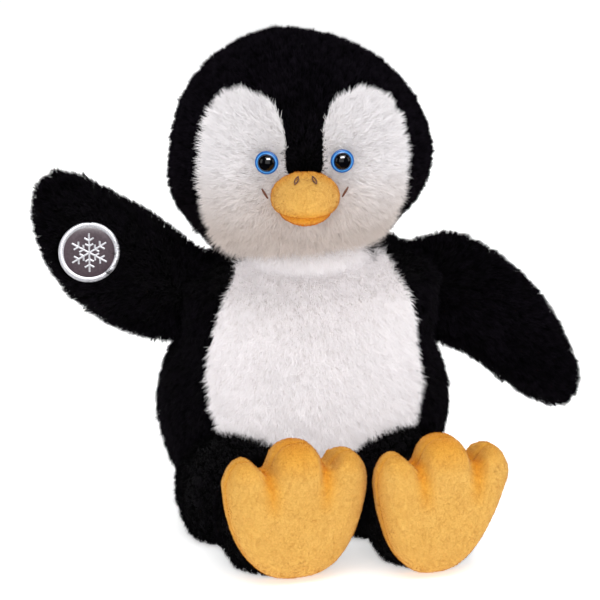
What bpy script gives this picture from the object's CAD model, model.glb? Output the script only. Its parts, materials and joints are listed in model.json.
# %% [markdown]
# # A seated plush penguin
# The toy is sewn from cut panels of plush, stuffed, and given plastic eyes and soft orange feet.
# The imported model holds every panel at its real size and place, so this lesson only dresses it:
# it turns the plain panels into fabric with a real pile, and the hard bits into plastic and thread.

# %% Load the fixed frame
import json
from math import atan, cos, pi, radians, sin

import bmesh
import bpy
import numpy as np
from mathutils import Matrix, Vector
from mathutils.bvhtree import BVHTree
from mathutils.kdtree import KDTree

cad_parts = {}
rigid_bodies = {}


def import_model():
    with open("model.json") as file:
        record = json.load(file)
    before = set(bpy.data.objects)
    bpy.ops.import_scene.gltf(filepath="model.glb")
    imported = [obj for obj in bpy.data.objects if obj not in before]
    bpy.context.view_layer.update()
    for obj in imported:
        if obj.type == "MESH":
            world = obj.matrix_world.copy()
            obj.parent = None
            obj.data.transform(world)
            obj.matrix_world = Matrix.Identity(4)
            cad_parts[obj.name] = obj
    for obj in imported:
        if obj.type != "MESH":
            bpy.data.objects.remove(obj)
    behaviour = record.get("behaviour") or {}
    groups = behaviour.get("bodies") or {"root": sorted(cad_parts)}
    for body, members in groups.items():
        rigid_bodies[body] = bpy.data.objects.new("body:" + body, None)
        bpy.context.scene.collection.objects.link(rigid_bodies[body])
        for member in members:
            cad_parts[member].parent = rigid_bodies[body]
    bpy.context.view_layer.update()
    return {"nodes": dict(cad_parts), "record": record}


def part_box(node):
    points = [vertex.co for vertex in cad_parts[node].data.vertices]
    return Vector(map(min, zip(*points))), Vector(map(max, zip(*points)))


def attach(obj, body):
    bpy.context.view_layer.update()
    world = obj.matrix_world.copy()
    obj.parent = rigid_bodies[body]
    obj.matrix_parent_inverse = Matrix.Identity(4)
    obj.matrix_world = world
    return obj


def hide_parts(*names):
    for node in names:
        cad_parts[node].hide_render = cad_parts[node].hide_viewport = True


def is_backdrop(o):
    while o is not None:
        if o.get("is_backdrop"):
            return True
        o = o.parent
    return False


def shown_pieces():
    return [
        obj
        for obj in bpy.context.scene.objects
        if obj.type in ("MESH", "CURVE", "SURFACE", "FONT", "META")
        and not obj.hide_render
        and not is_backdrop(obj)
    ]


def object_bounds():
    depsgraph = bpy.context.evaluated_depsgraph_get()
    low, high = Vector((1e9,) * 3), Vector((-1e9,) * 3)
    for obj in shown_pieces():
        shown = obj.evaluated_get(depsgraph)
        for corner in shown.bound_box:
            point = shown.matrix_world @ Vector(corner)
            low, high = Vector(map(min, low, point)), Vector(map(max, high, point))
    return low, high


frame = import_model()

NODES = frame["nodes"]
JOINTS = {joint["name"]: joint for joint in frame["record"]["behaviour"]["joints"]}
MM = 0.001

# %% [markdown]
# ## Camera and studio
# A toy like this is photographed on a white sweep, from a little above its eyes and a little to its
# right. A long lens at 1.7 m keeps the feet from looking too big. Wide softboxes hang overhead and in
# front, and weaker ones open up the sides and the back. One more is seen only by glossy surfaces: it
# puts the small oblong glint in each eye, which the plastic would lose among broad reflections.

# %% Camera
VIEW_AZIMUTH, VIEW_ELEVATION = radians(-8), radians(14)
VIEW_DISTANCE, VIEW_SPAN = 1.7, 0.39
across = Vector((cos(VIEW_AZIMUTH), sin(VIEW_AZIMUTH), 0))
towards = Vector((sin(VIEW_AZIMUTH) * cos(VIEW_ELEVATION), -cos(VIEW_AZIMUTH) * cos(VIEW_ELEVATION),
                  sin(VIEW_ELEVATION)))
aim = Vector((0, 0, 0.137)) - across * 0.002
bpy.ops.object.select_all(action="DESELECT")
bpy.ops.object.camera_add(location=aim + towards * VIEW_DISTANCE,
                          rotation=towards.to_track_quat("Z", "Y").to_euler())
camera = bpy.context.object
camera.data.angle = 2 * atan(VIEW_SPAN / 2 / VIEW_DISTANCE)
bpy.context.scene.camera = camera
bpy.context.scene.view_settings.view_transform = "Standard"
print("lens, mm:", round(camera.data.lens, 1))


# %% Softboxes, sky and floor
def softbox(name, place, width, height, power):
    """A rectangular lamp at a place, looking at the toy's middle."""
    place = Vector(place)
    turn = (place - aim).to_track_quat("Z", "Y").to_euler()
    bpy.ops.object.light_add(type="AREA", location=place, rotation=turn)
    lamp = bpy.context.object
    lamp.name = name
    lamp.data.shape = "RECTANGLE"
    lamp.data.size, lamp.data.size_y = width, height
    lamp.data.energy = power
    return lamp


softbox("overhead_softbox", (0.15, -0.75, 1.35), 1.5, 0.8, 11)
softbox("front_softbox", (-0.3, -2.4, 0.7), 2.0, 1.6, 11)
softbox("left_fill", (1.6, -0.5, 0.6), 0.8, 1.0, 3)
softbox("right_fill", (-1.6, -0.5, 0.6), 0.8, 1.0, 3)
softbox("back_fill", (0.0, 1.6, 0.9), 1.4, 0.9, 12)
glint = softbox("glint_softbox", (0.10, -1.10, 1.15), 0.9, 0.4, 55)
glint.visible_diffuse = False     # it lights only what is glossy

ROOM_LIGHT = 0.56             # what the room sheds on the toy; the room itself shows as plain white
world = bpy.data.worlds.new("white_room")
world.use_nodes = True
room = world.node_tree.nodes["Background"]
room.inputs["Color"].default_value = (1, 1, 1, 1)
seen = world.node_tree.nodes.new("ShaderNodeLightPath")
level = world.node_tree.nodes.new("ShaderNodeMapRange")
level.inputs["To Min"].default_value = ROOM_LIGHT
level.inputs["To Max"].default_value = 1.0
world.node_tree.links.new(seen.outputs["Is Camera Ray"], level.inputs["Value"])
world.node_tree.links.new(level.outputs["Result"], room.inputs["Strength"])
bpy.context.scene.world = world
world.cycles_visibility.glossy = False     # the plastic eyes stay black but for the glint

FLOOR_SIZE = 12
bpy.ops.object.select_all(action="DESELECT")
bpy.ops.mesh.primitive_plane_add(size=FLOOR_SIZE, location=(0, 0, -0.0005))
floor = bpy.context.object
floor.name = "floor"
PAPER = {"Base Color": (0.9, 0.9, 0.9, 1), "Roughness": 0.9, "Emission Color": (1, 1, 1, 1),
         "Emission Strength": 0.55}     # it glows a little, so that it meets the white room without a line
paper = bpy.data.materials.new("white_paper")
paper.use_nodes = True
for socket, value in PAPER.items():
    paper.node_tree.nodes["Principled BSDF"].inputs[socket].default_value = value
floor.data.materials.append(paper)
floor.visible_glossy = False
floor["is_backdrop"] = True
print("stage set")


# %% [markdown]
# ## Materials for pile
# Each blade of pile carries three attributes: `along`, from 0 at its root to 1 at its tip, `shade`, a
# random number that it mostly shares with its tuft, and `tone`, which rises in hollows and creases.
# Light can't reach the roots of real plush, so a material that darkens towards the root reads as deep
# fur even where the geometry is thin. The noise that every material uses is one node group. It reads
# Object coordinates, so a pattern stays on the toy when a part moves.

# %% Shader helpers
def new_finish(name, roughness, **constants):
    """A material whose Principled sockets hold the values that are the same all over."""
    look = bpy.data.materials.new(name)
    look.use_nodes = True
    shader = look.node_tree.nodes["Principled BSDF"]
    shader.inputs["Roughness"].default_value = roughness
    for socket, value in constants.items():
        shader.inputs[socket.replace("_", " ")].default_value = value
    return look, shader


def add_node(look, kind, **settings):
    node = look.node_tree.nodes.new(kind)
    for key, value in settings.items():
        setattr(node, key, value)
    return node


def attribute(look, name):
    return add_node(look, "ShaderNodeAttribute", attribute_name=name).outputs["Fac"]


def ramp(look, value, stops):
    """Colours along a value: stops are (position, colour)."""
    node = add_node(look, "ShaderNodeValToRGB")
    while len(node.color_ramp.elements) < len(stops):
        node.color_ramp.elements.new(0.5)
    for stop, (position, colour) in zip(node.color_ramp.elements, stops):
        stop.position = position
        stop.color = (*colour, 1)
    look.node_tree.links.new(value, node.inputs["Fac"])
    return node.outputs["Color"]


def multiply(look, first, second):
    """One colour times another."""
    node = add_node(look, "ShaderNodeMix", data_type="RGBA", blend_type="MULTIPLY")
    colour_inputs = [socket for socket in node.inputs if socket.type == "RGBA"]
    node.inputs["Factor"].default_value = 1.0
    look.node_tree.links.new(first, colour_inputs[0])
    look.node_tree.links.new(second, colour_inputs[1])
    return next(socket for socket in node.outputs if socket.type == "RGBA")


def make_noise_group():
    """Noise fixed to the toy, with sockets for its scale, detail and roughness."""
    group = bpy.data.node_groups.new("toy_noise", "ShaderNodeTree")
    for name in ("Scale", "Detail", "Roughness"):
        group.interface.new_socket(name, in_out="INPUT", socket_type="NodeSocketFloat")
    group.interface.new_socket("Fac", in_out="OUTPUT", socket_type="NodeSocketFloat")
    enter, leave = group.nodes.new("NodeGroupInput"), group.nodes.new("NodeGroupOutput")
    texture = group.nodes.new("ShaderNodeTexNoise")
    for name in ("Scale", "Detail", "Roughness"):
        group.links.new(enter.outputs[name], texture.inputs[name])
    group.links.new(group.nodes.new("ShaderNodeTexCoord").outputs["Object"], texture.inputs["Vector"])
    group.links.new(texture.outputs["Fac"], leave.inputs["Fac"])
    return group


TOY_NOISE = make_noise_group()


def noise(look, scale, detail=3, roughness=0.5):
    node = add_node(look, "ShaderNodeGroup", node_tree=TOY_NOISE)
    for name, value in (("Scale", scale), ("Detail", detail), ("Roughness", roughness)):
        node.inputs[name].default_value = value
    return node.outputs["Fac"]


def paint(look, shader, value, stops):
    """The shader's base colour follows a value."""
    look.node_tree.links.new(ramp(look, value, stops), shader.inputs["Base Color"])


def roughen(look, shader, height, strength, distance):
    """Bumps on the shader's surface where the height rises."""
    bump = add_node(look, "ShaderNodeBump")
    bump.inputs["Strength"].default_value = strength
    bump.inputs["Distance"].default_value = distance
    look.node_tree.links.new(height, bump.inputs["Height"])
    look.node_tree.links.new(bump.outputs["Normal"], shader.inputs["Normal"])


SHADED = (0.76, 0.69, 0.63)    # what is left of a colour where the pile lies in a hollow


def plush(name, root, middle, tip, dull, roughness, **constants):
    """Pile that darkens to its roots and in hollows, and varies from tuft to tuft and over the panel."""
    look, shader = new_finish(name, roughness, **constants)
    colour = ramp(look, attribute(look, "along"), [(0.0, root), (0.45, middle), (1.0, tip)])
    tuft = ramp(look, attribute(look, "shade"), [(0.0, (dull, dull, dull)), (1.0, (1, 1, 1))])
    colour = multiply(look, colour, tuft)
    patchy = 0.5 + dull / 2
    drift = ramp(look, noise(look, 30), [(0.3, (patchy, patchy, patchy)), (0.7, (1, 1, 1))])
    colour = multiply(look, colour, drift)
    hollow = ramp(look, attribute(look, "tone"), [(0.0, (1, 1, 1)), (1.0, SHADED)])
    colour = multiply(look, colour, hollow)
    look.node_tree.links.new(colour, shader.inputs["Base Color"])
    return look


BLACK_PLUSH = plush("black_plush", (0.0006, 0.0005, 0.0008), (0.0020, 0.0016, 0.0026),
                    (0.0150, 0.0120, 0.0180), 0.25, 0.7, Sheen_Weight=0.025, Sheen_Roughness=0.5,
                    Specular_IOR_Level=0.0)
# The white's faint emission stands for the light that passes on from hair to hair inside the pile.
# The belly's pile points down, away from the light, so it has more of it.
WHITE_PLUSH, BELLY_PLUSH = (
    plush(name, (0.86, 0.83, 0.82), (0.91, 0.885, 0.89), (0.94, 0.92, 0.94), 0.93, 0.85,
          Sheen_Weight=0.08, Sheen_Roughness=0.5, Specular_IOR_Level=0.0,
          Emission_Color=(1.0, 0.955, 0.96, 1), Emission_Strength=glow)
    for name, glow in (("white_plush", 0.03), ("belly_white_plush", 0.11)))
print("pile materials:", BLACK_PLUSH.name, WHITE_PLUSH.name)


# %% [markdown]
# ## Stuffed forms
# A stuffed part is sewn flat and filled until the cloth is tight, so its shape is a soft swelling
# of the pattern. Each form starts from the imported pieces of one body: they are merged, rebuilt as an
# even grid by a voxel remesh and smoothed. The wings and feet are then blown up a little with
# Blender's cloth.

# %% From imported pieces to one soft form
def activate(thing):
    bpy.ops.object.select_all(action="DESELECT")
    thing.select_set(True)
    bpy.context.view_layer.objects.active = thing


def apply_modifier(thing, kind, **settings):
    step = thing.modifiers.new(kind.lower(), kind)
    for key, value in settings.items():
        setattr(step, key, value)
    activate(thing)
    bpy.ops.object.modifier_apply(modifier=step.name)


def soft_form(name, nodes, voxel, grow=0.0, smoothing=4):
    """A closed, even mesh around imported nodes, moved out (or in) by grow."""
    shape = bmesh.new()
    for node in nodes:
        shape.from_mesh(NODES[node].data)
    bmesh.ops.remove_doubles(shape, verts=shape.verts, dist=1e-6)
    mesh = bpy.data.meshes.new(name)
    shape.to_mesh(mesh)
    shape.free()
    form = bpy.data.objects.new(name, mesh)
    bpy.context.scene.collection.objects.link(form)
    apply_modifier(form, "REMESH", mode="VOXEL", voxel_size=voxel)
    apply_modifier(form, "SMOOTH", factor=0.5, iterations=smoothing)
    if grow:
        apply_modifier(form, "DISPLACE", strength=grow, mid_level=0)
    form.data.shade_smooth()
    return form


def move_points(form, points):
    """Puts a form's points in new places."""
    form.data.vertices.foreach_set("co", points.ravel())
    form.data.update()


def inflate(form, pressure, cap, frames=20):
    """Blows the form up with cloth, letting no point move further than the cap."""
    start = np.array([v.co for v in form.data.vertices])
    cloth = form.modifiers.new("stuffing", "CLOTH")
    cloth.settings.quality = 4
    cloth.settings.mass = 0.3
    cloth.settings.use_pressure = True
    cloth.settings.uniform_pressure_force = pressure
    cloth.settings.effector_weights.gravity = 0
    cloth.collision_settings.use_collision = False
    scene = bpy.context.scene
    for number in range(1, frames + 1):
        scene.frame_set(number)
    graph = bpy.context.evaluated_depsgraph_get()
    blown = np.array([v.co for v in form.evaluated_get(graph).data.vertices])
    form.modifiers.remove(cloth)
    scene.frame_set(1)
    move = blown - start
    far = np.linalg.norm(move, axis=1, keepdims=True)
    move *= np.minimum(1, cap / np.maximum(far, 1e-9))
    move_points(form, start + move)


# %% Reading a mesh into arrays
def unit(vectors):
    return vectors / np.maximum(np.linalg.norm(vectors, axis=1, keepdims=True), 1e-12)


def arrays_of(mesh):
    """A mesh's points, point normals and triangles."""
    mesh.calc_loop_triangles()
    points = np.empty(len(mesh.vertices) * 3)
    mesh.vertices.foreach_get("co", points)
    normals = np.empty(len(mesh.vertices) * 3)
    mesh.vertices.foreach_get("normal", normals)
    corners = np.empty(len(mesh.loop_triangles) * 3, dtype=np.int32)
    mesh.loop_triangles.foreach_get("vertices", corners)
    return points.reshape(-1, 3), normals.reshape(-1, 3), corners.reshape(-1, 3)


TREES = {}


def distance_to(node, places):
    """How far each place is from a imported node's surface."""
    if node not in TREES:
        points, _, corners = arrays_of(NODES[node].data)
        TREES[node] = BVHTree.FromPolygons(points.tolist(), corners.tolist())
    return np.array([TREES[node].find_nearest(p)[3] for p in places.tolist()])


def nearest_of(nodes, places):
    """For each place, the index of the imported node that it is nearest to."""
    if len(nodes) == 1:
        return np.zeros(len(places), dtype=int)
    return np.argmin([distance_to(node, places) for node in nodes], axis=0)


def press(form, depth):
    """Moves each point of a form inwards along its normal."""
    points, normals, _ = arrays_of(form.data)
    move_points(form, points - normals * depth[:, None])


# %% [markdown]
# ## Growing pile
# Plush is a dense brush of short fibres that stick together in tufts. Hair particles would look
# right, but they wouldn't be part of the mesh, so each blade is three small triangles: two for its
# stem and one for its tip. A blade stands up from the backing, then leans the way the fabric is
# brushed, and is gathered towards the blade in the middle of its tuft.

# %% One blade for each root
BLADE_ALONG = [0, 0, 0.5, 0.5, 1.0]     # root, middle and tip of a blade's five points
BLADE_POINTS = len(BLADE_ALONG)


def grow_blades(root, out, recipe, flow, length, rng):
    """Points and triangles of blades; recipe says how they lean, gather and stray."""
    count = len(root)
    tufts = rng.choice(count, max(1, int(count / recipe["per_tuft"])), replace=False)
    lookup = KDTree(len(tufts))
    for number, index in enumerate(tufts):
        lookup.insert(root[index], number)
    lookup.balance()
    own = np.array([lookup.find(p)[1] for p in root.tolist()])
    tuft_lean = rng.normal(0, recipe["ruffle"], (len(tufts), 3))
    tuft_long = 1 + rng.normal(0, recipe["uneven"], len(tufts))
    flow = flow - out * (flow * out).sum(1, keepdims=True)
    stray = rng.normal(0, recipe["stray"], (count, 3))
    heading = unit(out + recipe["lean"] * flow + tuft_lean[own] + stray)
    below = (heading * out).sum(1) < 0.25
    heading[below] = unit(heading[below] + out[below] * 0.6)
    long = (length * np.clip(tuft_long[own], 0.5, 1.5) * rng.uniform(0.7, 1.1, count))[:, None]
    tip = root + heading * long
    tip += recipe["gather"] * (tip[tufts[own]] - tip) * np.minimum(1, long / recipe["length"])
    middle = root + unit(out * 1.2 + unit(tip - root)) * long * 0.5
    side = unit(unit(np.cross(tip - root, out)) + rng.normal(0, 0.35, (count, 3))) * recipe["width"] / 2
    points = np.stack([root - side, root + side, middle - side * 0.8, middle + side * 0.8, tip], axis=1)
    start = np.arange(count)[:, None] * BLADE_POINTS
    corners = np.concatenate([start + [0, 1, 3], start + [0, 3, 2], start + [2, 3, 4]], axis=1)
    shade = np.clip(0.6 * rng.random(len(tufts))[own] + 0.4 * rng.random(count), 0, 1)
    return points.reshape(-1, 3), corners.reshape(-1, 3), np.repeat(shade, BLADE_POINTS)


# %% A cover: one panel's backing with its pile
def mesh_from(name, points, corners, **layers):
    """A mesh of triangles, with one number for each point under each layer's name."""
    mesh = bpy.data.meshes.new(name)
    mesh.vertices.add(len(points))
    mesh.vertices.foreach_set("co", points.ravel())
    mesh.loops.add(corners.size)
    mesh.loops.foreach_set("vertex_index", corners.ravel())
    mesh.polygons.add(len(corners))
    mesh.polygons.foreach_set("loop_start", np.arange(0, corners.size, 3))
    mesh.update(calc_edges=True)
    for key, values in layers.items():
        layer = mesh.attributes.new(key, "FLOAT", "POINT")
        layer.data.foreach_set("value", values.astype(np.float32))
    mesh.shade_smooth()
    return mesh


def scatter(points, normals, corners, per_square_mm, rng):
    """Random places on a mesh, as many on each triangle as its area asks for."""
    a, b, c = (points[corners[:, k]] for k in range(3))
    area = np.linalg.norm(np.cross(b - a, c - a), axis=1) / 2
    count = int(area.sum() / MM ** 2 * per_square_mm)
    picked = rng.choice(len(area), count, p=area / area.sum())
    u, v = rng.random((2, count))
    over = u + v > 1
    u[over], v[over] = 1 - u[over], 1 - v[over]
    weight = np.stack([1 - u - v, u, v], axis=1)[:, :, None]
    return (points[corners[picked]] * weight).sum(1), unit((normals[corners[picked]] * weight).sum(1))


FLOOR_GAP = 0.0004            # pile that would reach through the floor is laid flat just above it


def no_tone(places):
    return np.zeros(len(places))


def cover(form, panels, body, flow, keep=None, shorten=None, seed=1, split=None, tone=no_tone, reach=0.0):
    """Dresses a form: one piece of plush for each panel {name: (node, recipe)}.

    flow, shorten, keep, split and tone are functions of places: the way that the pile is brushed, its
    length as a share of the recipe's, where it grows at all, which panel a place belongs to, and how
    deep in a hollow it lies.
    """
    rng = np.random.default_rng(seed)
    points, normals, corners = arrays_of(form.data)
    nodes = [node for node, _ in panels.values()]
    split = split or (lambda places: nearest_of(nodes, places))
    face_panel = split(points[corners].mean(axis=1))
    thickest = max(recipe["density"] for _, recipe in panels.values())
    root, out = scatter(points, normals, corners, thickest, rng)
    if keep is not None:
        kept = keep(root)
        root, out = root[kept], out[kept]
    brushed = flow(root)
    brushed = unit(brushed - out * (brushed * out).sum(1, keepdims=True))
    root_panel = split(root + brushed * reach)     # pile belongs to the panel that its tip lies over
    for number, (name, (node, recipe)) in enumerate(panels.items()):
        chosen = (root_panel == number) & (rng.random(len(root)) < recipe["density"] / thickest)
        place, way = root[chosen], out[chosen]
        length = np.full(len(place), recipe["length"])
        if shorten is not None:
            length = length * shorten(place)
        blades, blade_corners, shade = grow_blades(place, way, recipe, flow(place), length, rng)
        patch = corners[face_panel == number]
        used, patch = np.unique(patch, return_inverse=True)
        patch = patch.reshape(-1, 3)
        backing = points[used]
        both = np.concatenate([backing, blades])
        both[:, 2] = np.maximum(both[:, 2], FLOOR_GAP)
        mesh = mesh_from(
            name, both, np.concatenate([patch, blade_corners + len(backing)]),
            along=np.concatenate([np.zeros(len(backing)), np.tile(BLADE_ALONG, len(place))]),
            shade=np.concatenate([np.full(len(backing), 0.5), shade]),
            tone=np.concatenate([tone(backing), np.repeat(tone(place), BLADE_POINTS)]))
        mesh.materials.append(recipe["finish"])
        piece = bpy.data.objects.new(name, mesh)
        bpy.context.scene.collection.objects.link(piece)
        if node in NODES:     # the neck's pile stands for no packed panel
            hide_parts(node)
        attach(piece, body)
        print(f"{name}: {len(place)} blades, {len(mesh.polygons)} triangles")


BLACK = {"density": 2.3, "length": 0.0072, "width": 0.00048, "lean": 0.85, "ruffle": 0.17, "stray": 0.24,
         "uneven": 0.10, "gather": 0.22, "per_tuft": 26, "finish": BLACK_PLUSH, "slot": "black_plush"}
WHITE = {"density": 4.2, "length": 0.0092, "width": 0.00044, "lean": 0.60, "ruffle": 0.12, "stray": 0.26,
         "uneven": 0.09, "gather": 0.15, "per_tuft": 26, "finish": WHITE_PLUSH, "slot": "white_plush"}

# %% [markdown]
# ## Head
# Two black panels meet over the crown and two white ones make the face. The pile is brushed back and
# down from the beak. It is clipped short round the eyes and the beak, as it is on the real toy, so
# that neither is buried.

# %% Head form and its pile
SKIN_DEPTH = -0.0022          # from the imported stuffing's surface in to the fabric's backing
TIP_REACH = 0.0042            # how far sideways a brushed tip lies from its root


def middle_of(node):
    low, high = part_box(node)
    return (Vector(low) + Vector(high)) / 2


EYES = [np.array(middle_of(f"eye_iris_{side}")) for side in ("left", "right")]
BEAK_LOW, BEAK_HIGH = (np.array(corner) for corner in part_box("beak_upper"))
BEAK_MIDDLE = (BEAK_LOW + BEAK_HIGH) / 2
HEAD_MIDDLE = np.array(middle_of("head_stuffing"))
NECK = np.array(middle_of("neck_stuffing"))


def near(places, centre, inner, outer):
    """0 within the inner radius of a centre, rising to 1 at the outer."""
    far = np.linalg.norm(places - centre, axis=1)
    return np.clip((far - inner) / (outer - inner), 0, 1)


def head_flow(places):
    """Away from the beak over the face, and down at the back."""
    away = unit(places - BEAK_MIDDLE)
    back = np.clip((places[:, 1:2] - HEAD_MIDDLE[1]) / 0.05 + 0.4, 0, 1)
    return away * (1 - back) + np.array([0, 0.2, -1.0]) * back


def head_length(places):
    """Clipped round the eyes and the beak, and longer under the chin."""
    trim = np.ones(len(places))
    for eye in EYES:
        trim = np.minimum(trim, 0.22 + 0.78 * near(places, eye, 0.010, 0.024))
    beak = distance_to("beak_upper", places)
    trim = np.minimum(trim, 0.30 + 0.70 * np.clip((beak - 0.002) / 0.016, 0, 1))
    return trim * (1 + CHIN_LONGER * np.clip((CHIN_HEIGHT - places[:, 2]) / 0.02, 0, 1))


JOWL_LEFT, JOWL_RIGHT = 0.0015, 0.0085      # the filling settles into the lower half of the head
SLUMP = 0.0055                # and leaves its upper left a little flatter
SLUMP_TOWARDS = np.array([0.66, 0.0, 0.75])
CHIN_HEIGHT, CHIN_LONGER = 0.200, 0.7
HEAD_ROOM, BODY_ROOM = 0.041, 0.0415        # radii of the head's and the body's hollows for the neck

head_form = soft_form("head_form", ["head_stuffing"], 0.004, SKIN_DEPTH - 0.0012)
points, normals, _ = arrays_of(head_form.data)
low = np.clip((HEAD_MIDDLE[2] - 0.006 - points[:, 2]) / 0.036, 0, 1)
off_neck = np.clip((np.linalg.norm(points - NECK, axis=1) - 0.040) / 0.008, 0, 1)
slump = np.clip((unit(points - HEAD_MIDDLE) @ SLUMP_TOWARDS - 0.55) / 0.45, 0, 1)
rightness = np.clip(0.5 - points[:, 0] / 0.1, 0, 1)
jowl = JOWL_LEFT + (JOWL_RIGHT - JOWL_LEFT) * rightness
press(head_form, SLUMP * slump - jowl * low * low * (3 - 2 * low) * off_neck)


def head_shade(places):
    """The lower cheeks and the chin turn away from the light."""
    return np.clip((0.236 - places[:, 2]) / 0.040, 0, 1)


cover(head_form, {
    "head_plush_left": ("head_panel_left", BLACK), "head_plush_right": ("head_panel_right", BLACK),
    "face_plush_left": ("face_panel_left", WHITE), "face_plush_right": ("face_panel_right", WHITE),
}, "head", head_flow, keep=lambda places: np.linalg.norm(places - NECK, axis=1) > HEAD_ROOM,
    shorten=head_length, seed=11, reach=TIP_REACH, tone=head_shade)

# %% [markdown]
# ## Body
# The body is a pear: a white belly panel let into two black sides, on a black base that it sits on.
# Its pile is brushed downwards, and the white lies smoother than on the face. No pile grows in the
# hollow where the neck turns. Round its rim the pile is longer and turns up to meet the head's.

# %% Body form and its pile
BELLY = dict(WHITE, finish=BELLY_PLUSH, ruffle=0.09, gather=0.14, uneven=0.08)


def outside_neck(places):
    """Places that aren't inside the hollow for the neck."""
    return np.linalg.norm(places - NECK, axis=1) > BODY_ROOM


def body_length(places):
    """Longer pile round the neck, where it fills the hollow under the head."""
    return 1 + 0.9 * np.clip((0.058 - np.linalg.norm(places - NECK, axis=1)) / 0.014, 0, 1)


def body_flow(places):
    """Down, but turning outwards and up at the neck, where the pile meets the head's."""
    down = np.tile([0.0, 0.0, -1.0], (len(places), 1))
    outwards = places * [1, 1, 0]
    rim = np.clip((0.056 - np.linalg.norm(places - NECK, axis=1)) / 0.012, 0, 1)[:, None]
    return unit(down * (1 - 1.5 * rim) + outwards * (3 + 12 * rim))


SHOULDER_LOW, SHOULDER_X, SHOULDER_SPREAD = 0.110, 0.058, 0.026     # the shoulders swell to meet the wings
SHOULDER_RISE_LEFT, SHOULDER_RISE_RIGHT = 0.026, 0.017
SEAT_HEIGHT, SEAT_SPREAD = 0.070, 0.0042      # the filling settles into the belly

body_form = soft_form("body_form", ["body_stuffing"], 0.004, SKIN_DEPTH + 0.001)
points, _, _ = arrays_of(body_form.data)
high = np.clip((points[:, 2] - SHOULDER_LOW) / 0.03, 0, 1)
rise = np.where(points[:, 0] > 0, SHOULDER_RISE_LEFT, SHOULDER_RISE_RIGHT)
swell = high * np.exp(-((np.abs(points[:, 0]) - SHOULDER_X) / SHOULDER_SPREAD) ** 2) * rise
points += unit(points * [1, 0.4, 0] + [0, 0, 0.045]) * swell[:, None]
seat = np.exp(-((points[:, 2] - SEAT_HEIGHT) / 0.04) ** 2) * SEAT_SPREAD
points += unit(points * [1, 1, 0]) * seat[:, None]
move_points(body_form, points)
cover(body_form, {
    "belly_plush": ("belly_panel", BELLY),
    "side_plush_left": ("body_side_left", BLACK), "side_plush_right": ("body_side_right", BLACK),
    "base_plush": ("body_base", BLACK),
}, "body", body_flow, keep=outside_neck, shorten=body_length, seed=12, reach=TIP_REACH)

# %% [markdown]
# ## Wings, legs and tail
# A wing is two panels sewn flat and filled, so its form is blown up with cloth and then hangs a little
# below its seam. Its pile is brushed from the shoulder to the tip, and none grows under the badge. A leg
# is a short tube whose filling has settled, so its underside is pulled down to lie on the ground. The
# tail is a small flap that stands up behind.

# %% Wings
BADGE = np.array(middle_of("badge_backing"))
BADGE_CLEAR = 0.0185          # no pile grows this near to the badge's middle


def off_badge(places):
    """Places that the badge doesn't cover."""
    behind = places[:, 1] > BADGE[1] + BADGE_CLEAR / 2
    return behind | (np.linalg.norm((places - BADGE) * [1, 0.5, 1], axis=1) > BADGE_CLEAR)


WING_GROW = {"left": 0.0008, "right": -0.0004}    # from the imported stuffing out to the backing
WING_HANG = {"left": 0.0060, "right": 0.0012}     # the filling hangs a little below the seam line
BADGE_BED = 0.0126            # how far forward the wing's backing may stand under the badge


def sink_under_badge(form):
    """Keeps the wing's backing behind the badge."""
    points, _, _ = arrays_of(form.data)
    under = np.linalg.norm((points - BADGE)[:, [0, 2]], axis=1) < BADGE_CLEAR + 0.006
    points[under, 1] = np.maximum(points[under, 1], -BADGE_BED)
    move_points(form, points)


for side in ("left", "right"):
    root_place = np.array(JOINTS[f"wing_{side}_raise"]["pos_m"])
    form = soft_form(f"wing_{side}_form", [f"wing_{side}_stuffing"], 0.004, WING_GROW[side])
    inflate(form, 4.0, 0.002)
    points, _, _ = arrays_of(form.data)
    reach = np.clip((np.linalg.norm(points - root_place, axis=1) - 0.012) / 0.03, 0, 1)
    points[:, 2] -= reach * WING_HANG[side]
    move_points(form, points)
    if side == "right":
        sink_under_badge(form)

    def wing_flow(places, root_place=root_place):
        return unit(places - root_place)

    cover(form, {
        f"wing_{side}_plush_front": (f"wing_{side}_front", BLACK),
        f"wing_{side}_plush_back": (f"wing_{side}_back", BLACK),
    }, f"wing_{side}", wing_flow, keep=off_badge, seed=13)

# %% Legs
LEG_GROW, LEG_SAG = 0.0015, 1.5     # the filling settles, so that the leg's underside lies on the ground
LEG_FLOOR = 0.0012

for side in ("left", "right"):
    form = soft_form(f"leg_{side}_form", [f"leg_{side}_stuffing"], 0.004, LEG_GROW)
    points, _, _ = arrays_of(form.data)
    hip_height = JOINTS[f"leg_{side}_swing"]["pos_m"][2]
    below = np.maximum(hip_height - points[:, 2], 0)
    points[:, 2] = np.maximum(points[:, 2] - below * (LEG_SAG - 1), LEG_FLOOR)
    move_points(form, points)
    cover(form, {f"leg_{side}_plush": (f"leg_{side}_cover", BLACK)}, f"leg_{side}",
          lambda places: np.tile([0.1, -1.0, -0.2], (len(places), 1)), seed=15)

# %% Tail
form = soft_form("tail_form", ["tail_stuffing"], 0.002, 0)
cover(form, {"tail_plush_top": ("tail_top", BLACK), "tail_plush_under": ("tail_under", BLACK)}, "tail",
      lambda places: np.tile([0.0, 1.0, 0.2], (len(places), 1)), seed=16)

# %% [markdown]
# ## Neck
# The head is joined to the body by a short gathered neck, which shows only as pile that fills the gap
# between them. It is a ring, white under the chin and black elsewhere, that turns with the neck. It
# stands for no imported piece, so it replaces none.

# %% Neck
COLLAR_RADIUS, COLLAR_THICK, COLLAR_DROP = 0.0405, 0.0065, 0.001
WHITE_HALF = 0.036

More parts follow.
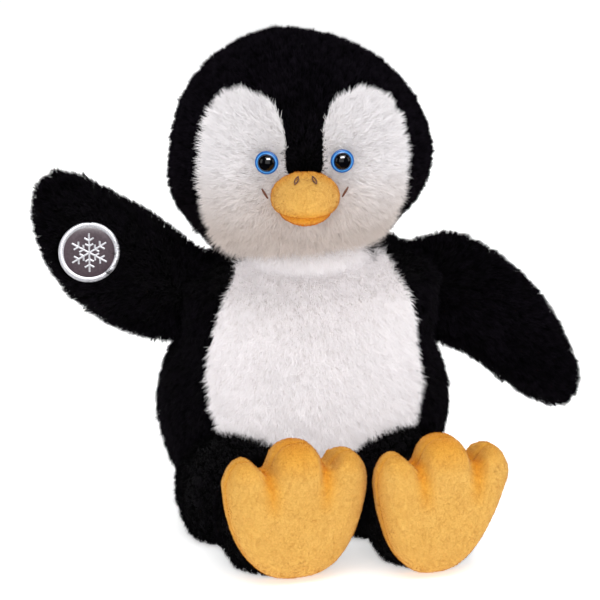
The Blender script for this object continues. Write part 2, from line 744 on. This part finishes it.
bpy.ops.object.select_all(action="DESELECT")
bpy.ops.mesh.primitive_torus_add(location=NECK - [0, 0, COLLAR_DROP], major_radius=COLLAR_RADIUS,
                                 minor_radius=COLLAR_THICK, major_segments=56, minor_segments=16)
neck_form = bpy.context.object
neck_form.name = "neck_form"
bpy.ops.object.transform_apply(location=True, rotation=True, scale=True)


def neck_split(places):
    """0 under the chin, 1 elsewhere."""
    white = (places[:, 1] < 0) & (np.abs(places[:, 0] + 0.002) < WHITE_HALF)
    return np.where(white, 0, 1)


cover(neck_form, {"neck_plush_front": ("front", dict(BELLY, length=0.0085, lean=0.5)),
                  "neck_plush_back": ("back", dict(BLACK, length=0.0130, lean=0.2))}, "neck",
      lambda places: np.tile([0.0, 0.0, -1.0], (len(places), 1)),
      keep=lambda places: np.linalg.norm((places - NECK)[:, :2], axis=1) > COLLAR_RADIUS - 0.004,
      seed=17, split=neck_split)

# %% [markdown]
# ## Feet and beak in minky
# The feet and the beak are minky, a velvet-like knit with a pile of about a millimetre. It shows a
# deeper orange where the nap is pushed over: in the creases, round the toe tips and along the seams.
# The feet are blown up with cloth so that the soles crown, and then the creases between the toes are
# pinched in, as the stitches through the real foot do. The beak isn't blown up.

# %% Minky material
def minky(name):
    """Short velvet-like pile, deeper in colour where its tone is high."""
    look, shader = new_finish(name, 0.85, Sheen_Weight=0.3, Sheen_Roughness=0.4,
                              Sheen_Tint=(1.0, 0.80, 0.50, 1), Specular_IOR_Level=0.0)
    colour = ramp(look, attribute(look, "tone"),
                  [(0.0, (0.76, 0.46, 0.125)), (0.5, (0.77, 0.40, 0.068)), (1.0, (0.78, 0.30, 0.018))])
    tip = ramp(look, attribute(look, "along"), [(0.0, (0.96, 0.95, 0.94)), (1.0, (1, 1, 1))])
    colour = multiply(look, colour, tip)
    grain = ramp(look, noise(look, 900, 4, 0.65), [(0.32, (0.84, 0.79, 0.66)), (0.62, (1, 1, 1))])
    colour = multiply(look, colour, grain)
    nap = ramp(look, noise(look, 60, 3, 0.55), [(0.35, (0.97, 0.95, 0.90)), (0.65, (1, 1, 1))])
    colour = multiply(look, colour, nap)
    look.node_tree.links.new(colour, shader.inputs["Base Color"])
    roughen(look, shader, noise(look, 700, 4, 0.6), 0.35, 0.0006)
    return look


MINKY = {"density": 2.4, "length": 0.0008, "width": 0.00026, "lean": 1.3, "ruffle": 0.10, "stray": 0.30,
         "uneven": 0.2, "gather": 0.1, "per_tuft": 12, "finish": minky("golden_minky"),
         "slot": "golden_minky"}


# %% Pinching seams and creases
def seam_depth(places, first, second, width):
    """1 on the line where two packed panels meet, fading to 0 over the width."""
    gap = distance_to(first, places) - distance_to(second, places)
    return np.exp(-(gap / width) ** 2)


def subdivide(form):
    apply_modifier(form, "SUBSURF", levels=1, render_levels=1)


# %% Feet
CREASE_X, CREASE_TOP, CREASE_END = 0.0188, 0.074, 0.044     # in the foot's own frame
CREASE_WIDTH, CREASE_DEPTH = 0.0046, 0.0034
FOOT_SEAM_WIDTH, FOOT_SEAM_DEPTH = 0.0012, 0.0011
FOOT_STRETCH = {"left": -0.01, "right": 0.05}     # the right foot is fuller on the side of its neighbour
HEEL_TAPER = {"left": 0.16, "right": 0.02}        # and the left one narrows more towards the ground
TAPER_TOP, TAPER_HEIGHT = 0.062, 0.06
TOE_TIPS = 0.066              # above this height the toes are a deeper orange


def foot_frame(side):
    """The ankle's place, the way across the foot and the way ahead of it."""
    joint = JOINTS[f"foot_{side}_flex"]
    hinge = -np.array(joint["axis"])
    return np.array(joint["pos_m"]), hinge, np.array([hinge[1], -hinge[0], 0])


def crease_depth(local_x, height):
    """How far down the creases between the toes a place is: 1 in the notch, 0 below their ends."""
    down = np.clip((height - CREASE_END) / (CREASE_TOP - CREASE_END), 0, 1)
    aside = (np.abs(local_x) - CREASE_X * (0.86 + 0.14 * down)) / CREASE_WIDTH
    return down ** 0.8 * np.exp(-aside ** 2)


def fill_foot(form, side):
    """Fills a foot out sideways, and tapers it towards the ground, about the edge on the toy's right."""
    ankle, hinge, _ = foot_frame(side)
    points, _, _ = arrays_of(form.data)
    local_x = (points - ankle) @ hinge
    taper = np.clip((TAPER_TOP - points[:, 2]) / TAPER_HEIGHT, 0, 1) * HEEL_TAPER[side]
    points += hinge * ((local_x - local_x.min()) * (FOOT_STRETCH[side] - taper))[:, None]
    move_points(form, points)


for side in ("left", "right"):
    ankle, hinge, ahead = foot_frame(side)
    sole, top = f"foot_{side}_sole", f"foot_{side}_top"
    form = soft_form(f"foot_{side}_form", [sole, top, f"foot_{side}_stuffing"], 0.003, -0.0005, smoothing=3)
    inflate(form, 4.0, 0.0022)
    subdivide(form)
    fill_foot(form, side)
    points, normals, _ = arrays_of(form.data)
    local_x = (points - ankle) @ hinge
    facing = np.clip((normals @ ahead) * 1.5, -1, 1)
    press(form, crease_depth(local_x, points[:, 2]) * CREASE_DEPTH * np.abs(facing)
          + FOOT_SEAM_DEPTH * seam_depth(points, sole, top, FOOT_SEAM_WIDTH))

    def foot_tone(places, ankle=ankle, hinge=hinge, ahead=ahead, sole=sole, top=top):
        """Deeper in the creases, at the toe tips, along the seam and at the back."""
        local_x = (places - ankle) @ hinge
        crease = crease_depth(local_x, places[:, 2])
        tips = np.clip((places[:, 2] - TOE_TIPS) / 0.02, 0, 1) * 0.7
        edge = 0.5 * seam_depth(places, sole, top, 0.006)
        behind = np.clip(0.7 - ((places - ankle) @ ahead - 0.012) / 0.02, 0, 0.7)
        return np.clip(np.maximum.reduce([crease, tips, edge, behind]), 0, 1)

    cover(form, {f"foot_{side}_minky_sole": (sole, MINKY), f"foot_{side}_minky_top": (top, MINKY)},
          f"foot_{side}", lambda places: np.tile([0.0, 0.0, 1.0], (len(places), 1)), seed=21, tone=foot_tone)

# %% Beak
BEAK_SEAM_WIDTH, BEAK_SEAM_DEPTH = 0.0014, 0.0018
beak_form = soft_form("beak_form", ["beak_upper", "beak_lower", "beak_stuffing"], 0.0016, 0.0002)
subdivide(beak_form)
beak_points, _, _ = arrays_of(beak_form.data)
press(beak_form, BEAK_SEAM_DEPTH * seam_depth(beak_points, "beak_upper", "beak_lower", BEAK_SEAM_WIDTH))


def beak_tone(places):
    """Deeper along the mouth, under it, and where the beak meets the face."""
    seam = seam_depth(places, "beak_upper", "beak_lower", 0.004)
    under = (nearest_of(["beak_upper", "beak_lower"], places) == 1) * 0.75
    base = np.clip(1 - distance_to("head_stuffing", places) / 0.016, 0, 1)
    return np.clip(np.maximum.reduce([0.8 * seam, under, base]), 0, 1)


BEAK_MINKY = dict(MINKY, density=3.0, width=0.00028)
cover(beak_form, {"beak_minky_upper": ("beak_upper", BEAK_MINKY),
                  "beak_minky_lower": ("beak_lower", BEAK_MINKY)},
      "head", lambda places: np.tile([0.0, -1.0, -0.3], (len(places), 1)), seed=22, tone=beak_tone)

# %% [markdown]
# ## Safety eyes
# A safety eye is a moulded plastic dome on a shank, pushed through a hole in the face and locked from
# behind with a washer. Round pieces like this are drawn as half a profile and spun. Each point keeps
# its distance from the axis as an attribute, which paints the blue ring.

# %% Spun pieces
def centroid(node):
    return Vector(arrays_of(NODES[node].data)[0].mean(axis=0))


def turned(name, profile, place, direction, finish, steps=64):
    """Half a profile (radius, height) in millimetres, spun about its axis and set in place."""
    mesh = bpy.data.meshes.new(name)
    mesh.from_pydata([(radius * MM, 0, height * MM) for radius, height in profile],
                     [(k, k + 1) for k in range(len(profile) - 1)], [])
    thing = bpy.data.objects.new(name, mesh)
    bpy.context.scene.collection.objects.link(thing)
    activate(thing)
    bpy.ops.object.mode_set(mode="EDIT")
    bpy.ops.mesh.select_all(action="SELECT")
    bpy.ops.mesh.spin(steps=steps, angle=2 * pi, center=(0, 0, 0), axis=(0, 0, 1))
    bpy.ops.mesh.select_all(action="SELECT")
    bpy.ops.mesh.remove_doubles(threshold=1e-6)
    bpy.ops.mesh.normals_make_consistent(inside=False)
    bpy.ops.object.mode_set(mode="OBJECT")
    widest = max(radius for radius, _ in profile) * MM
    ring = mesh.attributes.new("ring", "FLOAT", "POINT")
    ring.data.foreach_set("value", [v.co.xy.length / widest for v in mesh.vertices])
    mesh.shade_smooth()
    mesh.set_sharp_from_angle(angle=radians(50))
    turn = Vector(direction).to_track_quat("Z", "Y").to_matrix().to_4x4()
    mesh.transform(Matrix.Translation(place) @ turn)
    mesh.materials.append(finish)
    return thing


def place_piece(thing, body, replaced):
    """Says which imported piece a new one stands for, which slot it shows and which body it rides on."""
    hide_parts(replaced)
    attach(thing, body)
    print(thing.name, len(thing.data.polygons), "faces")


# %% Eyes
EYE_BLACK, eye_shader = new_finish("eye_black", 0.04, Specular_IOR_Level=0.5)
paint(EYE_BLACK, eye_shader, noise(EYE_BLACK, 200),
      [(0.3, (0.0015, 0.0015, 0.002)), (0.7, (0.003, 0.003, 0.004))])
EYE_BLUE, ring_shader = new_finish("eye_blue", 0.3, Specular_IOR_Level=0.3)
paint(EYE_BLUE, ring_shader, attribute(EYE_BLUE, "ring"), [
    (0.0, (0.002, 0.02, 0.10)), (0.74, (0.004, 0.05, 0.22)), (0.78, (0.01, 0.13, 0.45)),
    (0.81, (0.10, 0.38, 0.78)), (0.84, (0.09, 0.36, 0.76)), (0.87, (0.008, 0.12, 0.42)),
    (1.0, (0.006, 0.09, 0.34))])
RING_PROFILE = [(1.8, 0), (6.9, 0), (7.3, 0.4), (7.25, 1.0), (6.9, 1.45), (6.5, 1.5), (6.1, 1.35),
                (5.7, 1.45), (5.2, 1.8), (1.8, 1.8), (1.8, 0)]
DOME_RADIUS, DOME_HEIGHT, DOME_BASE = 5.35, 3.6, 1.5
DOME_PROFILE = [(0, -5.0), (1.2, -5.0), (1.6, -4.6), (1.6, DOME_BASE - 0.1),
                (DOME_RADIUS - 0.1, DOME_BASE - 0.1)]
for k in range(12):
    rise = k * pi / 24
    DOME_PROFILE.append((DOME_RADIUS * cos(rise), DOME_BASE + DOME_HEIGHT * sin(rise)))
DOME_PROFILE.append((0, DOME_BASE + DOME_HEIGHT))
for side in ("left", "right"):
    look = (centroid(f"eye_iris_{side}") - centroid(f"eye_washer_{side}")).normalized()
    seat = centroid(f"eye_iris_{side}") - look * 0.0008
    ring = turned(f"eye_ring_{side}", RING_PROFILE, seat, look, EYE_BLUE)
    place_piece(ring, "head", f"eye_iris_{side}")
    dome = turned(f"eye_dome_{side}", DOME_PROFILE, seat, look, EYE_BLACK)
    place_piece(dome, "head", f"eye_pupil_{side}")

# %% [markdown]
# ## Embroidery
# The nostrils are two almond eyelets, and the smile is one line beside each corner of the beak. Both are
# worked in brown thread, so each is a few round threads lying side by side.

# %% Threads
def thread(name, lines, radius, finish):
    """Round threads along lines of points, as one mesh."""
    path = bpy.data.curves.new(name, "CURVE")
    path.dimensions = "3D"
    path.bevel_depth = radius
    path.bevel_resolution = 2
    path.use_fill_caps = True
    for line in lines:
        spline = path.splines.new("POLY")
        spline.points.add(len(line) - 1)
        for point, place in zip(spline.points, line):
            point.co = (*place, 1)
    thing = bpy.data.objects.new(name, path)
    bpy.context.scene.collection.objects.link(thing)
    activate(thing)
    bpy.ops.object.convert(target="MESH")
    thing = bpy.context.object
    thing.data.shade_smooth()
    thing.data.materials.clear()
    thing.data.materials.append(finish)
    return thing


def cotton(name, dark, light):
    """Thread: fine twisted strands, a little uneven in colour."""
    look, shader = new_finish(name, 0.6)
    strands = noise(look, 2200, 2, 0.5)
    paint(look, shader, strands, [(0.35, dark), (0.65, light)])
    roughen(look, shader, strands, 0.4, 0.0002)
    return look


BROWN_THREAD = cotton("brown_embroidery", (0.07, 0.018, 0.006), (0.20, 0.06, 0.02))
BLACK_THREAD = cotton("black_thread", (0.006, 0.006, 0.008), (0.02, 0.019, 0.023))


def ends_of(node):
    """The two ends of a packed stitch, the lower one first."""
    points, _, _ = arrays_of(NODES[node].data)
    axis = np.linalg.svd(points - points.mean(axis=0), full_matrices=False)[2][0]
    way = (points - points.mean(axis=0)) @ axis
    first = points[way < way.min() + 0.0008].mean(axis=0)
    last = points[way > way.max() - 0.0008].mean(axis=0)
    return (first, last) if first[2] < last[2] else (last, first)


def almond(low, high, out, spread, lift, count=9):
    """Two lines from one end to the other that bow apart."""
    across = np.cross(high - low, out)
    across /= np.linalg.norm(across)
    lines = []
    for bow in (-1, 1):
        t = np.linspace(0, 1, count)[:, None]
        lines.append(low + (high - low) * t + across * bow * spread * np.sin(pi * t) + out * lift)
    return lines


for side in ("left", "right"):
    low, high = ends_of(f"nostril_stitch_{side}")
    out = unit(np.array([[0, -0.45, 1.0]]))[0]
    eyelet = thread(f"nostril_thread_{side}", almond(low, high, out, 0.0010, 0.0002), 0.00042, BROWN_THREAD)
    place_piece(eyelet, "head", f"nostril_stitch_{side}")
    low, high = ends_of(f"smile_stitch_{side}")
    out = unit((low - HEAD_MIDDLE)[None, :])[0]
    smile = thread(f"smile_thread_{side}", almond(low, high, out, 0.00035, 0.0012), 0.00045, BROWN_THREAD)
    place_piece(smile, "head", f"smile_stitch_{side}")

# %% [markdown]
# ## Badge
# A round patch is sewn on the raised wing: a satin-stitched silver rim, a mauve satin field and a
# six-armed snowflake. The rim's stitches are real ribs round the spun disc.

# %% Badge pieces
SILVER, silver_shader = new_finish("badge_silver", 0.38, Metallic=0.35, Sheen_Weight=0.1)
paint(SILVER, silver_shader, noise(SILVER, 1500, 3), [(0.3, (0.48, 0.48, 0.52)), (0.7, (0.80, 0.80, 0.84))])
MAUVE, mauve_shader = new_finish("badge_mauve", 0.42, Sheen_Weight=0.2, Sheen_Tint=(0.8, 0.7, 0.8, 1))
paint(MAUVE, mauve_shader, noise(MAUVE, 1100, 3),
      [(0.3, (0.045, 0.026, 0.036)), (0.7, (0.085, 0.055, 0.070))])
BADGE_WAY = Vector((0, -1, 0))
badge_seat = centroid("badge_backing") - BADGE_WAY * 0.0006
BACKING_PROFILE = [(0, 0), (18.6, 0), (19.5, 0.45), (19.5, 1.1), (18.9, 1.7), (18.0, 1.95), (17.1, 1.85),
                   (16.4, 1.5), (16.1, 1.1), (0, 1.0)]
FIELD_PROFILE = [(0, 0), (16.0, 0), (16.2, 0.2), (15.9, 0.4), (12, 0.6), (6, 0.7), (0, 0.75)]
RIM_RIBS, RIB_HEIGHT, RIM_INSIDE = 90, 0.00016, 0.0162
backing = turned("badge_rim", BACKING_PROFILE, Vector(), (0, 0, 1), SILVER, steps=RIM_RIBS * 4)
for v in backing.data.vertices:
    if v.co.xy.length > RIM_INSIDE:
        angle = np.arctan2(v.co.y, v.co.x)
        v.co.z += RIB_HEIGHT * cos(RIM_RIBS * angle)
badge_turn = Matrix.Translation(badge_seat) @ BADGE_WAY.to_track_quat("Z", "Y").to_matrix().to_4x4()
backing.data.transform(badge_turn)
place_piece(backing, "wing_right", "badge_backing")
satin = turned("badge_satin", FIELD_PROFILE, badge_seat + BADGE_WAY * 0.0011, BADGE_WAY, MAUVE)
place_piece(satin, "wing_right", "badge_field")


# %% Snowflake
def snowflake_lines(reach, twigs):
    """Six arms, each with pairs of twigs at {distance: length}."""
    lines = []
    for arm in range(6):
        turn = Matrix.Rotation(arm * pi / 3, 3, "Z")
        lines.append([turn @ Vector((0, reach * k / 6, 0)) for k in range(7)])
        for start, length in twigs.items():
            for side in (-1, 1):
                tip = Vector((side * length * sin(pi / 3), start + length * cos(pi / 3), 0))
                lines.append([turn @ (Vector((0, start, 0)).lerp(tip, k / 3)) for k in range(4)])
    return lines


flake = thread("badge_flake", snowflake_lines(0.0125, {0.0042: 0.0030, 0.0078: 0.0034}), 0.00062, SILVER)
flake.data.transform(badge_turn @ Matrix.Translation((0, 0, 0.0019)) @ Matrix.Diagonal((1, 1, 0.6, 1)))
place_piece(flake, "wing_right", "badge_snowflake")

# %% [markdown]
# ## Care label and hidden parts
# A blank satin label is caught in a seam low at the back, on the toy's left. It is a flat strip, so it
# is a grid that curls away from the body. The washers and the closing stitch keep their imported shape. Each
# packed stuffing becomes wadding that lies a few millimetres inside its cover, so that white fibre
# never shows between the roots of the pile.

# %% Care label
LABEL_WIDTH, LABEL_LENGTH, LABEL_CURL = 0.022, 0.030, 0.0035
LABEL_SATIN, label_shader = new_finish("label_satin", 0.5, Sheen_Weight=0.1)
paint(LABEL_SATIN, label_shader, noise(LABEL_SATIN, 1300, 2),
      [(0.3, (0.74, 0.74, 0.72)), (0.7, (0.88, 0.88, 0.86))])
label_low, label_high = (Vector(corner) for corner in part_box("care_label"))
label_along = Vector((label_high.x - label_low.x, label_low.y - label_high.y, 0)).normalized()
label_out = Vector((-label_along.y, label_along.x, 0))
label_top = Vector(((label_low.x + label_high.x) / 2, (label_low.y + label_high.y) / 2, label_high.z))
bpy.ops.object.select_all(action="DESELECT")
bpy.ops.mesh.primitive_grid_add(x_subdivisions=12, y_subdivisions=18, size=1)
label = bpy.context.object
label.name = "care_label_satin"
for v in label.data.vertices:
    down = 0.5 - v.co.y
    wave = 0.0006 * sin(2 * pi * v.co.x) * down
    v.co = (label_top + label_along * v.co.x * LABEL_WIDTH - Vector((0, 0, down * LABEL_LENGTH))
            + label_out * (LABEL_CURL * down ** 2 + wave))
apply_modifier(label, "SOLIDIFY", thickness=0.0003, offset=0)
label.data.materials.append(LABEL_SATIN)
label.data.shade_smooth()
place_piece(label, "body", "care_label")

# %% Washers and closing stitch
NYLON, nylon_shader = new_finish("washer_nylon", 0.4)
paint(NYLON, nylon_shader, noise(NYLON, 300), [(0.3, (0.62, 0.62, 0.60)), (0.7, (0.76, 0.76, 0.74))])
for node, finish in (("eye_washer_left", NYLON), ("eye_washer_right", NYLON),
                     ("closing_thread", BLACK_THREAD)):
    NODES[node].data.materials.clear()
    NODES[node].data.materials.append(finish)

# %% Wadding
FIBRE, fibre_shader = new_finish("polyester_wadding", 0.95)
paint(FIBRE, fibre_shader, noise(FIBRE, 90, 6, 0.7), [(0.3, (0.62, 0.62, 0.60)), (0.7, (0.88, 0.88, 0.86))])
WADDING_DEPTH = {"foot": -0.0065, "head": -0.0105, "wing": -0.0075, "neck": -0.0100}
OTHER_WADDING_DEPTH = -0.0042
for node in [n for n in NODES if n.endswith("_stuffing")]:
    inner = WADDING_DEPTH.get(node.split("_")[0], OTHER_WADDING_DEPTH)
    wadding = soft_form(node.replace("stuffing", "wadding"), [node], 0.004, inner, smoothing=2)
    if node.startswith("foot"):
        fill_foot(wadding, node.split("_")[1])
    wadding.data.materials.clear()
    wadding.data.materials.append(FIBRE)
    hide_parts(node)
    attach(wadding, NODES[node].parent.name.removeprefix("body:"))
    print(wadding.name, len(wadding.data.polygons), "faces")

for thing in list(bpy.context.scene.objects):
    if thing.name.endswith("_form"):
        bpy.data.objects.remove(thing, do_unlink=True)

# %% Sizes for the record, and finish
total = sum(len(thing.data.loop_triangles) or len(thing.data.polygons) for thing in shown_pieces())
print("triangles in all, about:", total)
low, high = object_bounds()
